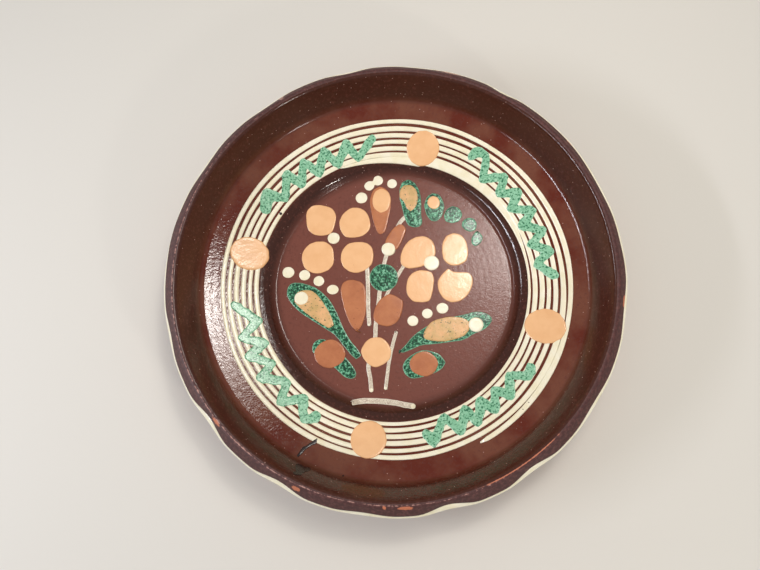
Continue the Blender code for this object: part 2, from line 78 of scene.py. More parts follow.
def per_mm(size: float) -> float:
    """Gives the texture scale that draws features of a size in millimetres."""
    return 1 / (size * MM)


def add_node(
    tree: bpy.types.NodeTree, kind: str, settings: dict | None = None, links: dict | None = None
) -> bpy.types.Node:
    """Adds a node with its settings and its links.

    Args:
        tree: The material's or the world's node tree.
        kind: The node's type name.
        settings: Values by property name, or by the name or number of an input.
        links: Output sockets by the name or number of the input that they feed.

    Returns:
        The new node.
    """
    node = tree.nodes.new(kind)
    for key, value in (settings or {}).items():
        if isinstance(key, str) and hasattr(node, key):
            setattr(node, key, value)
        else:
            node.inputs[key].default_value = value
    for key, source in (links or {}).items():
        tree.links.new(source, node.inputs[key])
    return node


def new_material(
    name: str,
) -> tuple[bpy.types.Material, bpy.types.NodeTree, bpy.types.Node, bpy.types.NodeSocket]:
    """Makes a material.

    Args:
        name: Its name.

    Returns:
        The material, its node tree, its shader and the output of its Object coordinates.
    """
    material = bpy.data.materials.new(name)
    material.use_nodes = True
    tree = material.node_tree
    place = add_node(tree, "ShaderNodeTexCoord").outputs["Object"]
    return material, tree, tree.nodes["Principled BSDF"], place


def lay_colours(
    tree: bpy.types.NodeTree, colour: str | bpy.types.NodeSocket, layers: tuple[tuple, ...]
) -> tuple[bpy.types.NodeSocket, bpy.types.NodeSocket]:
    """Lays colours over a first one, each where a measure says so.

    Args:
        tree: The material's node tree.
        colour: The first colour, as hex or as an output.
        layers: Each colour's hex, the output that measures it, and the values of that measure at
            which it starts and is full.

    Returns:
        The mixed colour, and the share that the last colour has in it.
    """
    # Inputs 6 and 7 of a colour mix are its two colours, and output 2 is the mixed one
    for shade, measure, start, full in layers:
        share = add_node(
            tree, "ShaderNodeMapRange", {"From Min": start, "From Max": full}, {"Value": measure}
        ).outputs["Result"]
        settings = {"data_type": "RGBA", 7: linear(shade)}
        links = {0: share}
        if isinstance(colour, str):
            settings[6] = linear(colour)
        else:
            links[6] = colour
        colour = add_node(tree, "ShaderNodeMix", settings, links).outputs[2]
    return colour, share


class Slot(Enum):
    """Material slots of the record."""

    CLAY = "earthenware"
    BROWN = "brown_slip"
    CREAM = "cream_slip"
    PEACH = "peach_slip"
    TERRACOTTA = "terracotta_slip"
    DARK_GREEN = "dark_green_slip"
    MINT = "mint_green_slip"


@dataclass(frozen=True)
class Glaze:
    """Clear lead glaze, dipped over the slips and fired.

    It is what gives the face its wet shine, with the slight orange-peel swell of a thick glaze.
    """

    ior: float = 1.56
    swell_size: float = 2.8
    swell_depth: float = 0.06
    grain_size: float = 1.0
    grain_depth: float = 0.05

    def bump(self, tree: bpy.types.NodeTree, place: bpy.types.NodeSocket) -> bpy.types.NodeSocket:
        """Adds the glaze's swell and grain.

        Args:
            tree: The material's node tree.
            place: Output that holds the Object coordinates.

        Returns:
            The normal for the shader.
        """
        normal = None
        for size, depth in ((self.swell_size, self.swell_depth), (self.grain_size, self.grain_depth)):
            height = add_node(
                tree,
                "ShaderNodeTexNoise",
                {"Scale": per_mm(size), "Detail": 2.0, "Roughness": 0.5},
                {"Vector": place},
            )
            links = {"Height": height.outputs["Fac"]}
            if normal:
                links["Normal"] = normal
            bump = add_node(tree, "ShaderNodeBump", {"Distance": depth * MM}, links)
            normal = bump.outputs["Normal"]
        return normal


@dataclass(frozen=True)
class GlazedSlip:
    """Coloured slip trailed on in drops and strokes, under the clear glaze.

    The eye sees a soft cloudiness where the slip pooled, flecks of metal oxide and bubbles, and a
    rim where it thinned out.

    Attributes:
        name: What the finish is.
        body: Main colour.
        cloud: Colour of the pooled areas.
        dark: Colour of the oxide flecks.
        light: Colour of the thin spots and bubbles; on the terracotta, of painted glints.
        rim: Colour at the edge of the deposit.
        cloud_size: Width of a cloud, in mm.
        fleck_size: Width of a fleck, in mm.
        dark_level: Noise level under which a dark fleck shows.
        light_level: Noise level over which a light spot shows.
        rim_width: How far the rim reaches in, in mm.
        rim_amount: How strongly the rim takes its own colour.
        roughness: Roughness of the glaze over it.
    """

    name: str
    body: str
    cloud: str
    dark: str
    light: str
    rim: str
    cloud_size: float = 6.0
    fleck_size: float = 1.0
    dark_level: float = 0.28
    light_level: float = 0.74
    rim_width: float = 0.6
    rim_amount: float = 0.5
    roughness: float = 0.2

    def material(self) -> bpy.types.Material:
        """Makes the material, or gives the one made before."""
        if self.name in bpy.data.materials:
            return bpy.data.materials[self.name]
        material, tree, shader, place = new_material(self.name)
        rim = add_node(tree, "ShaderNodeAttribute", {"attribute_name": "rim"})
        clouds, flecks = (
            add_node(
                tree,
                "ShaderNodeTexNoise",
                {"Scale": per_mm(size), "Detail": detail, "Roughness": rough},
                {"Vector": place},
            ).outputs["Fac"]
            for size, detail, rough in ((self.cloud_size, 3.0, 0.55), (self.fleck_size, 2.0, 0.6))
        )
        edge = add_node(
            tree,
            "ShaderNodeMapRange",
            {"From Max": self.rim_width, "To Min": self.rim_amount, "To Max": 0.0},
            {"Value": rim.outputs["Fac"]},
        )
        layers = (
            (self.cloud, clouds, 0.38, 0.68),
            (self.dark, flecks, self.dark_level + 0.05, self.dark_level - 0.02),
            (self.light, flecks, self.light_level - 0.04, self.light_level + 0.05),
            (self.rim, edge.outputs["Result"], 0.0, 1.0),
        )
        colour, _ = lay_colours(tree, self.body, layers)
        gloss = add_node(
            tree,
            "ShaderNodeMapRange",
            {"To Min": self.roughness * 0.7, "To Max": self.roughness * 1.5},
            {"Value": clouds},
        )
        tree.links.new(colour, shader.inputs["Base Color"])
        tree.links.new(gloss.outputs["Result"], shader.inputs["Roughness"])
        tree.links.new(Glaze().bump(tree, place), shader.inputs["Normal"])
        shader.inputs["IOR"].default_value = Glaze().ior
        return material


@dataclass(frozen=True)
class BrownSlipCoat:
    """Iron-rich brown slip poured over the whole face, glazed as far as the crest.

    Under the glaze it is a deep wet red-brown that turns duller on the floor. The step round the
    floor and the wall below the crest are coloured darker as painted shade, and pale specks over the
    face are painted glints of the glaze's bumps, with its bubbles. On the lip the glaze was wiped off
    for the kiln, which leaves a dry purple-brown skin with rubbed and chipped spots, and a pale line
    along the crest that is a painted highlight.
    """

    name: str = "lead_glazed_brown_slip"
    flange: str = "#70402f"
    flange_cloud: str = "#5e200f"
    # Painted shade: the steep step round the floor is coloured darker than the flange.
    step: str = "#3b1c13"
    floor: str = "#734136"
    floor_cloud: str = "#5f332a"
    # Painted shade: the wall below the crest is coloured darker than the flange.
    wall: str = "#432117"
    # Pale specks: painted glints of the glaze's bumps, with its bubbles.
    speck: str = "#b18b80"
    lip: str = "#472726"
    lip_grain: str = "#6a423e"
    # Colour of the lip's rubbed spots, and of the pale line along its crest, a painted highlight.
    worn_and_crest_highlight: str = "#b58b80"
    chip: str = "#bd7050"

    def material(self) -> bpy.types.Material:
        """Makes the material."""
        material, tree, shader, place = new_material(self.name)
        flat = add_node(
            tree, "ShaderNodeVectorMath", {"operation": "MULTIPLY", 1: (1, 1, 0)}, {0: place}
        ).outputs["Vector"]
        radius = add_node(
            tree, "ShaderNodeVectorMath", {"operation": "LENGTH"}, {0: flat}
        ).outputs["Value"]
        clouds, mottle = (
            add_node(
                tree,
                "ShaderNodeTexNoise",
                {"Scale": per_mm(size), "Detail": detail, "Roughness": rough},
                {"Vector": place},
            ).outputs["Fac"]
            for size, detail, rough in ((26, 4.0, 0.6), (1.6, 3.0, 0.65))
        )
        specks = add_node(tree, "ShaderNodeTexVoronoi", {"Scale": per_mm(3.4)}, {"Vector": place})
        floor_edge = (70.0 * MM, 64.0 * MM)
        layers = (
            (self.flange_cloud, clouds, 0.42, 0.62),
            # Painted shade: the step, from the floor out to the cream line, is darker
            (self.step, radius, 75.5 * MM, 74.5 * MM),
            (self.floor, radius, *floor_edge),
            # Painted shade: the wall is darker from the flange's edge outwards
            (self.wall, radius, 103.5 * MM, 106.4 * MM),
            (self.floor_cloud, mottle, 0.52, 0.80),
            # Painted glints: pale specks over the brown, with the glaze's bubbles
            (self.speck, specks.outputs["Distance"], 0.085, 0.05),
            (self.lip, radius, 112.2 * MM, 113.1 * MM),
        )
        colour, dry = lay_colours(tree, self.flange, layers)
        grain = add_node(
            tree, "ShaderNodeMapRange", {"From Min": 0.45, "From Max": 0.75}, {"Value": mottle}
        ).outputs["Result"]
        wear_and_crest_highlight, chips = (
            add_node(tree, "ShaderNodeAttribute", {"attribute_name": name}).outputs["Fac"]
            for name in ("wear_and_crest_highlight", "chips")
        )
        grainy, worn_and_crest_highlight, chipped = (
            add_node(
                tree, "ShaderNodeMath", {"operation": "MULTIPLY"}, {0: first, 1: second}
            ).outputs["Value"]
            for first, second in ((dry, grain), (wear_and_crest_highlight, mottle), (chips, mottle))
        )
        layers = (
            (self.lip_grain, grainy, 0.0, 1.0),
            # Rubbed spots of the lip, and the crest's painted highlight
            (self.worn_and_crest_highlight, worn_and_crest_highlight, 0.40, 0.54),
            (self.chip, chipped, 0.24, 0.34),
        )
        colour, _ = lay_colours(tree, colour, layers)
        gloss = add_node(
            tree,
            "ShaderNodeMapRange",
            {"From Min": 0.3, "From Max": 0.8, "To Min": 0.07, "To Max": 0.14},
            {"Value": mottle},
        ).outputs["Result"]
        on_floor = add_node(
            tree,
            "ShaderNodeMapRange",
            {"From Min": floor_edge[0], "From Max": floor_edge[1], "To Max": 0.14},
            {"Value": radius},
        ).outputs["Result"]
        gloss = add_node(tree, "ShaderNodeMath", {"operation": "ADD"}, {0: gloss, 1: on_floor})
        roughness = add_node(
            tree, "ShaderNodeMix", {"data_type": "FLOAT", 3: 0.62}, {0: dry, 2: gloss.outputs["Value"]}
        )
        rings = add_node(
            tree,
            "ShaderNodeTexWave",
            {
                "wave_type": "RINGS",
                "rings_direction": "Z",
                "Scale": math.tau / (20 * 3.4 * MM),
                "Distortion": 0.8,
                "Detail": 1.0,
            },
            {"Vector": place},
        )
        thrown = add_node(
            tree,
            "ShaderNodeBump",
            {"Distance": 0.010 * MM},
            {"Height": rings.outputs["Fac"], "Normal": Glaze().bump(tree, place)},
        )
        tree.links.new(colour, shader.inputs["Base Color"])
        tree.links.new(roughness.outputs[0], shader.inputs["Roughness"])
        tree.links.new(thrown.outputs["Normal"], shader.inputs["Normal"])
        shader.inputs["IOR"].default_value = Glaze().ior
        shader.inputs["Specular IOR Level"].default_value = 0.34
        return material


@dataclass(frozen=True)
class BareEarthenware:
    """Red earthenware, thrown and fired without glaze.

    It shows the dry, slightly gritty orange-brown of the clay, with the rings of throwing and
    turning and a few darker grains of grog.
    """

    name: str = "bare_red_earthenware"
    clay: str = "#b0623e"
    cloud: str = "#9b5334"
    grog: str = "#7a412c"

    def material(self) -> bpy.types.Material:
        """Makes the material."""
        material, tree, shader, place = new_material(self.name)
        clouds, grit = (
            add_node(
                tree,
                "ShaderNodeTexNoise",
                {"Scale": per_mm(size), "Detail": detail, "Roughness": rough},
                {"Vector": place},
            ).outputs["Fac"]
            for size, detail, rough in ((22, 4.0, 0.6), (0.9, 3.0, 0.7))
        )
        layers = ((self.cloud, clouds, 0.4, 0.65), (self.grog, grit, 0.62, 0.72))
        colour, _ = lay_colours(tree, self.clay, layers)
        rings = add_node(
            tree,
            "ShaderNodeTexWave",
            {
                "wave_type": "RINGS",
                "rings_direction": "Z",
                "Scale": math.tau / (20 * 4.2 * MM),
                "Distortion": 1.2,
                "Detail": 2.0,
            },
            {"Vector": place},
        )
        thrown = add_node(
            tree, "ShaderNodeBump", {"Distance": 0.18 * MM}, {"Height": rings.outputs["Fac"]}
        )
        gritty = add_node(
            tree,
            "ShaderNodeBump",
            {"Distance": 0.12 * MM},
            {"Height": grit, "Normal": thrown.outputs["Normal"]},
        )
        tree.links.new(colour, shader.inputs["Base Color"])
        tree.links.new(gritty.outputs["Normal"], shader.inputs["Normal"])
        shader.inputs["Roughness"].default_value = 0.88
        return material


# White clay slip, trailed thick: nearly even, faintly yellow where the glaze pools at its edge.
CREAM = GlazedSlip(
    "glazed_white_clay_slip", "#f6f0da", "#efe6c6", "#a8845f", "#fbf8ec", "#d9c39c",
    fleck_size=0.8, dark_level=0.22, rim_width=0.3, rim_amount=0.4,
)
# The same slip brushed thin: greyish, because the brown below shows through its streaks.
THIN_CREAM = GlazedSlip(
    "thin_white_clay_slip", "#d8cdb9", "#bfae9c", "#947667", "#ece4d2", "#e6ddca",
    cloud_size=3.0, fleck_size=0.6, dark_level=0.34, light_level=0.60,
    rim_width=0.6, rim_amount=0.8,
)
# Peach slip: a flat warm field with a darker line round it, where the glaze gathers.
PEACH = GlazedSlip(
    "glazed_peach_slip", "#f1be8c", "#ebb582", "#9a6a48", "#f4c99c", "#d9985f",
    cloud_size=7.0, fleck_size=0.9, dark_level=0.2, rim_width=0.45, rim_amount=0.6,
)
# Peach laid over wet green: copper has come up through it as small dark flecks.
FLECKED_PEACH = GlazedSlip(
    "glazed_peach_slip_over_copper_green", "#e8b583", "#c4a369", "#24513a", "#f0c294", "#c09a63",
    cloud_size=7.0, fleck_size=1.3, dark_level=0.33, light_level=0.72,
    rim_width=1.3, rim_amount=0.7,
)
# Red clay slip: a warmer and darker field than the peach, softly clouded; its light flecks are painted
# glints.
TERRACOTTA = GlazedSlip(
    "glazed_terracotta_slip", "#bd7850", "#ad6843", "#8a4d30", "#d09069", "#a5633f",
    cloud_size=8.0, fleck_size=0.9, rim_width=0.5, rim_amount=0.5,
)
# Strong copper green: dark grains crowd in it, and its thin rim is pale.
COPPER_GREEN = GlazedSlip(
    "glazed_copper_green_slip", "#2c7350", "#37805c", "#0b3826", "#7cbd9c", "#93cbab",
    cloud_size=5.0, fleck_size=1.15, dark_level=0.46, light_level=0.58,
    rim_width=0.55, rim_amount=0.75,
)
# Thin copper green over cream: a milky mint with scattered dark grains.
COPPER_MINT = GlazedSlip(
    "glazed_pale_copper_slip", "#80bd98", "#93caa8", "#2c7050", "#b4dcc2", "#a9d6b9",
    cloud_size=5.0, fleck_size=1.1, dark_level=0.41, light_level=0.64,
    rim_width=0.5, rim_amount=0.6,
)
# Manganese: almost black, as the pinholes and the runs from the kiln look.
MANGANESE = GlazedSlip(
    "manganese_speck_in_glaze", "#1d0f0d", "#2a1512", "#0e0706", "#3a201b", "#331a14",
    rim_width=0.3, rim_amount=0.5,
)
FINISH_OF = {
    Slot.CREAM: CREAM,
    Slot.PEACH: PEACH,
    Slot.TERRACOTTA: TERRACOTTA,
    Slot.DARK_GREEN: COPPER_GREEN,
    Slot.MINT: COPPER_MINT,
}


# Meshes


def finish_piece(
    name: str,
    bm: bmesh.types.BMesh,
    material: bpy.types.Material,
    nodes: tuple[str, ...] = (),
) -> None:
    """Turns a shape into a piece that rides on the plate.

    Args:
        name: Name of the piece.
        bm: The finished shape, in mm; it is freed.
        material: Its finish.
        nodes: CAD nodes that the piece stands for.
    """
    mesh = bpy.data.meshes.new(name)
    bmesh.ops.scale(bm, vec=(MM, MM, MM), verts=bm.verts)
    for face in bm.faces:
        face.smooth = True
    bm.to_mesh(mesh)
    bm.free()
    mesh.materials.append(material)
    obj = bpy.data.objects.new(name, mesh)
    bpy.context.scene.collection.objects.link(obj)
    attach(obj, "root")
    if nodes:
        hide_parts(*nodes)
    LOG.info("%s: %d faces", name, len(mesh.polygons))


def ease(share: float) -> float:
    """Gives a smooth step from 0 to 1."""
    share = min(max(share, 0.0), 1.0)
    return share * share * (3 - 2 * share)


def polar(point: Vector) -> tuple[float, float]:
    """Gives a point's distance from the axis and its angle in degrees."""
    return math.hypot(point.x, point.y), math.degrees(math.atan2(point.y, point.x))


def apart(first: float, second: float) -> float:
    """Gives how far apart two angles are, in degrees."""
    return abs((first - second + 180) % 360 - 180)


def wire(points: list[Vector]) -> bmesh.types.BMesh:
    """Gives a new bmesh with points joined in order."""
    bm = bmesh.new()
    line = [bm.verts.new(point) for point in points]
    for pair in zip(line, line[1:], strict=False):
        bm.edges.new(pair)
    return bm


def rounded_section(
    corners: list[tuple[float, float]], tangents: list[float], segments: int = 8
) -> list[Vector]:
    """Rounds the corners of an open section.

    Args:
        corners: Radius and height of each corner, in mm, in order.
        tangents: How far from each inner corner its rounding starts, in mm.
        segments: Pieces of each rounding.

    Returns:
        The points of the rounded section, in order.
    """
    bm = wire([Vector((radius, 0, height)) for radius, height in corners])
    line = bm.verts[:]
    start = line[0]
    for corner, tangent in zip(line[1:-1], tangents, strict=True):
        if tangent:
            bmesh.ops.bevel(
                bm,
                geom=[corner],
                offset=tangent,
                offset_type="OFFSET",
                affect="VERTICES",
                segments=segments,
                profile=0.5,
                material=-1,
            )
    points = [start.co.copy()]
    here, edge = start, start.link_edges[0]
    while edge:
        here = edge.other_vert(here)
        points.append(here.co.copy())
        edge = next((other for other in here.link_edges if other != edge), None)
    bm.free()
    return points


def raised(section: list[Vector], rise: float) -> list[Vector]:
    """Moves an open section sideways, upwards off the clay.

    Args:
        section: Points of the section in the XZ plane.
        rise: Distance in mm.

    Returns:
        The moved points.
    """
    moved = []
    for index, here in enumerate(section):
        before = section[max(index - 1, 0)]
        after = section[min(index + 1, len(section) - 1)]
        along = (after - before).normalized()
        moved.append(here + Vector((-along.z, 0, along.x)) * rise)
    moved[0].x = max(moved[0].x, 0) if section[0].x else 0
    return moved


@dataclass
class Face:
    """Section of the face: floor, step, flange, wall, crest and shoulder of the lip.

    Its height and radius come from the CAD model, and the rest are the maker's sizes, in mm.

    Attributes:
        height: Height of the plate.
        lip_radius: Radius of the clay at the lip's side.
        floor_radius: Radius of the flat floor.
        floor_level: Height of the clay at the floor.
        step_run: Width of the step round the floor.
        step_rise: Its height.
        flange_rise: How much the flange rises outwards.
        wall_run: How much the wall leans out.
        lip_reach: Width of the lip's shoulder.
        lip_drop: How much the shoulder falls outwards.
        coat: Height of the coat's face over the clay.
        tangents: How far from each corner its rounding starts.
        section: The rounded section of the clay.
    """

    height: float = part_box("brown_slip_coat")[1].z / MM
    lip_radius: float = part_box("cream_edge_band")[1].x / MM - 0.8
    floor_radius: float = 67.5
    floor_level: float = 6.1
    step_run: float = 4.2
    step_rise: float = 4.5
    flange_rise: float = 12.2
    wall_run: float = 7.5
    lip_reach: float = 6.4
    lip_drop: float = 6.2
    coat: float = 0.9
    tangents: tuple[float, ...] = (1.5, 1.3, 2.4, 2.1)
    section: list[Vector] = field(default_factory=list)

    def __post_init__(self) -> None:
        """Works out the clay's section, with its coated crest at the plate's height."""
        level = self.height
        for _ in range(4):
            self.section = rounded_section(self.corners(level), list(self.tangents))
            level += self.height - max(point.z for point in raised(self.section, self.coat))
        self.crest_level = level
        self.surface = raised(self.section, self.coat)

    def corners(self, crest_level: float) -> list[tuple[float, float]]:
        """Gives the corners of the clay face, from the axis out to the lip's edge.

        Args:
            crest_level: Height of the crest's sharp corner, in mm.

        Returns:
            Radius and height of each corner, in mm.
        """
        flange_level = self.floor_level + self.step_rise
        crest_radius = self.lip_radius - self.lip_reach
        return [
            (0, self.floor_level),
            (self.floor_radius, self.floor_level),
            (self.floor_radius + self.step_run, flange_level),
            (crest_radius - self.wall_run, flange_level + self.flange_rise),
            (crest_radius, crest_level),
            (self.lip_radius, crest_level - self.lip_drop),
        ]

    def level(self, radius: float) -> float:
        """Gives the height of the brown coat's face.

        Args:
            radius: Distance from the axis, in mm.

        Returns:
            Height in mm.
        """
        for inner, outer in zip(self.surface, self.surface[1:], strict=False):
            if radius <= outer.x and outer.x > inner.x:
                return inner.z + (outer.z - inner.z) * (radius - inner.x) / (outer.x - inner.x)
        return self.surface[-1].z


FACE = Face()


@dataclass(frozen=True)
class ThumbMark:
    """A thumb's press into the side of the lip.

    Attributes:
        angle: Where it is, in degrees.
        dip: How far the brown edge draws in at its middle, in mm.
        spread: Half its length, in degrees.
    """

    angle: float
    dip: float
    spread: float = 8.0

    def share(self, angle: float) -> float:
        """Gives 1 in the middle of the mark and 0 outside it."""
        away = min(apart(angle, self.angle) / self.spread, 1)
        return (1 + math.cos(math.pi * away)) / 2


@dataclass(frozen=True)
class Blemish:
    """A rubbed or chipped spot of the lip; one of them is a pale line along the crest, a painted highlight.

    Attributes:
        angle: Middle of the spot, in degrees.
        radius: Its distance from the axis, in mm.
        spread: Half its length along the lip, in degrees.
        reach: Half its width across the lip, in mm.
    """

    angle: float
    radius: float
    spread: float
    reach: float

    def share(self, angle: float, radius: float) -> float:
        """Gives 1 in the middle of the spot, falling to 0 outside it."""
        away = apart(angle, self.angle) / self.spread
        across = abs(radius - self.radius) / self.reach
        return 1 - ease((math.hypot(away, across) - 0.4) / 1.2)


@dataclass
class PlateBody:
    """The thrown clay, its brown coat, and the cream band round the lip.

    Attributes:
        steps: Steps of the turning.
        side: Height of the lip's side, in mm.
        undercut: How far below the side the wall's back starts, in mm.
        wall: Thickness of the wall, in mm.
        foot_radius: Outer radius of the foot ring, in mm.
        foot_width: Its width, in mm.
        foot_recess: How far the base stands up inside it, in mm.
        coat: Thickness of the brown slip, in mm.
        band: Thickness of the cream slip, in mm.
        band_start: How far up the lip's shoulder the cream runs in under the brown, as a share.
        short: How far the brown stops short of the lip's edge, in mm.
        lean: How much further it stops short at the top, and less at the bottom, in mm.
        press: How far a thumb mark presses the lip in, as a share of its dip.
        draw: How far the brown edge draws back besides, as a share of the dip.
        worn_from: Distance from the axis at which the rubbed spots, the crest's painted highlight and the
            chips start, in mm.
        marks: The thumb marks.
        worn_and_crest_highlight: Pale places of the lip: a line along its crest, a painted highlight, and
            two spots where its slip is rubbed.
        chips: Places where it is gone.
    """

    steps: int = 360
    side: float = 4.5
    undercut: float = 3.0
    wall: float = 6.5
    foot_radius: float = 68.0
    foot_width: float = 9.0
    foot_recess: float = 1.5
    coat: float = 0.6
    band: float = 0.75
    band_start: float = 0.62
    short: float = 2.1
    lean: float = 0.55
    press: float = 0.45
    draw: float = 0.6
    worn_from: float = 111.0
    marks: tuple[ThumbMark, ...] = tuple(
        ThumbMark(*sizes)
        for sizes in (
            (8, 0.5), (23, 1.1, 14), (58.5, 1.6, 6), (82, 0.7, 9), (102, 1.8), (126, 1.1, 9),
            (149, 1.1, 9), (169, -1.3, 11), (195.5, 1.1), (219, 2.6), (242, 2.4), (263, 1.1, 8),
            (283, 3.0), (304.5, 2.3), (326, 1.0, 9), (350, 1.0, 9),
        )
    )
    # The first is a pale line along the crest, a painted highlight; the other two are rubbed spots.
    worn_and_crest_highlight: tuple[Blemish, ...] = (
        Blemish(215, 113.3, 118, 0.55), Blemish(75, 117.5, 6, 2.0), Blemish(121.5, 116, 1.6, 3.4)
    )
    chips: tuple[Blemish, ...] = tuple(
        Blemish(*sizes)
        for sizes in (
            (246.5, 115.6, 1.3, 1.1), (221, 114.3, 1.6, 0.9), (273, 114.6, 2.0, 0.9),
            (268, 114.4, 0.7, 0.9), (303, 112.9, 13, 0.35), (36.5, 118.6, 1.6, 1.2),
            (352, 117.2, 1.6, 0.9),
        )
    )

    def dip(self, angle: float) -> float:
        """Gives how far the brown edge draws in at an angle in degrees, in mm."""
        return sum(mark.dip * mark.share(angle) for mark in self.marks)

    def shape_lip(self, bm: bmesh.types.BMesh, sliding: bool) -> None:
        """Presses the thumb marks into the lip.

        Args:
            bm: A turned shape, in mm.
            sliding: Whether the shape's edge on the shoulder draws back at the marks.
        """
        crest = FACE.lip_radius - FACE.lip_reach
        for vertex in bm.verts:
            radius, angle = polar(vertex.co)
            if radius < crest:
                continue
            dip = self.dip(angle)
            out = (radius - crest) / FACE.lip_reach
            inward = self.press * max(dip, 0) * ease(out)
            above_side = vertex.co.z > FACE.crest_level - FACE.lip_drop - 0.9
            if sliding and above_side:
                slid = self.draw * dip + self.lean * math.sin(math.radians(angle))
                slid *= ease(out * 1.2 - 0.2)
                inward += slid
                vertex.co.z += slid * FACE.lip_drop / FACE.lip_reach
            vertex.co.x *= (radius - inward) / radius
            vertex.co.y *= (radius - inward) / radius

    def turned(self, section: list[Vector]) -> bmesh.types.BMesh:
        """Turns a section about the axis.

        Args:
            section: Points of the section, in mm.

        Returns:
            The turned shape, in mm, with its doubles merged.
        """
        bm = wire(section)
        bmesh.ops.spin(
            bm,
            geom=bm.verts[:] + bm.edges[:],
            cent=(0, 0, 0),
            axis=(0, 0, 1),
            angle=math.tau,
            steps=self.steps,
            use_merge=True,
        )
        bmesh.ops.remove_doubles(bm, verts=bm.verts, dist=1e-3)
        bmesh.ops.recalc_face_normals(bm, faces=bm.faces)
        return bm

    def clay(self) -> None:
        """Builds the clay body with its foot ring."""
        face = FACE.section
        side_level = FACE.crest_level - FACE.lip_drop - self.side
        inside = [Vector((radius, 0, height)) for radius, height in FACE.corners(FACE.crest_level)]
        flange_in, wall_base, crest = inside[2:5]
        slope = (crest - wall_base).normalized()
        away = Vector((slope.z, 0, -slope.x)) * self.wall
        under_lip = crest + away + slope * ((side_level - self.undercut - crest.z - away.z) / slope.z)
        fall = (wall_base - flange_in).normalized()
        below = Vector((fall.z, 0, -fall.x)) * self.wall
        reach = (wall_base + away - flange_in - below).cross(fall).y / slope.cross(fall).y
        heel = wall_base + away - slope * reach
        foot_top = self.foot_radius + self.foot_width / 2
        under_start = heel + fall * ((foot_top - heel.x) / fall.x)
        lip_corner = face[-1]
        corners = [
            (lip_corner.x, lip_corner.z),
            (FACE.lip_radius, side_level),
            (under_lip.x, under_lip.z),
            (heel.x, heel.z),
            (under_start.x, under_start.z),
            (self.foot_radius, 0),
            (self.foot_radius - self.foot_width, 0),
            (self.foot_radius - self.foot_width - self.foot_recess, self.foot_recess),
            (0, self.foot_recess),
        ]
        back = rounded_section(corners, [1.2, 1.0, 4.0, 1.2, 0.8, 0.8, 0.6], 4)
        bm = self.turned(face + back[1:])
        self.shape_lip(bm, sliding=False)
        finish_piece("clay_body_turned", bm, BareEarthenware().material(), ("clay_body",))

    def brown_coat(self) -> None:
        """Builds the brown slip over the face, as far as the shoulder of the lip."""
        crest_end = FACE.section[-2]
        edge = FACE.section[-1].lerp(crest_end, self.short / (FACE.section[-1] - crest_end).length)
        shoulder = [crest_end.lerp(edge, n / 8) for n in range(1, 9)]
        line = FACE.section[:-1] + shoulder
        outer = raised(line, FACE.coat)
        inner = raised(line, FACE.coat - self.coat)
        lip = [outer[-1] + (inner[-1] - outer[-1]) * 0.5 + (edge - crest_end).normalized() * 0.25]
        bm = self.turned(outer + lip + inner[::-1])
        self.shape_lip(bm, sliding=True)
        # Shares of the rubbed spots and of the crest's painted highlight
        wear_and_crest_highlight = bm.verts.layers.float.new("wear_and_crest_highlight")
        chips = bm.verts.layers.float.new("chips")
        for vertex in bm.verts:
            radius, angle = polar(vertex.co)
            if radius < self.worn_from:
                continue
            vertex[wear_and_crest_highlight] = max(spot.share(angle, radius) for spot in self.worn_and_crest_highlight)
            vertex[chips] = max(spot.share(angle, radius) for spot in self.chips)
        finish_piece(
            "brown_coat_poured", bm, BrownSlipCoat().material(), ("brown_slip_coat",)
        )

    def cream_band(self) -> None:
        """Builds the cream slip round the side of the lip, which runs in under the brown."""
        side_top = FACE.crest_level - FACE.lip_drop
        top = (
            FACE.lip_radius - self.band_start * FACE.lip_reach,
            side_top + self.band_start * FACE.lip_drop,
        )
        corners = [top, (FACE.lip_radius, side_top), (FACE.lip_radius, side_top - self.side)]
        line = rounded_section(corners, [0.8], 6)
        inner = raised(line, 0.05)
        outer = [
            low.lerp(high, 0.6 + 0.4 * ease((side_top + 0.8 - low.z) / 1.4))
            for low, high in zip(inner, raised(line, self.band), strict=True)
        ]
        bottom = [inner[-1].lerp(outer[-1], 0.5) + Vector((0, 0, -0.25))]
        bm = self.turned(outer + bottom + inner[::-1] + [outer[0]])
        self.shape_lip(bm, sliding=False)
        rim = bm.verts.layers.float.new("rim")
        for vertex in bm.verts:
            vertex[rim] = vertex.co.z - (side_top - self.side)
        finish_piece("cream_band_dipped", bm, CREAM.material(), ("cream_edge_band",))


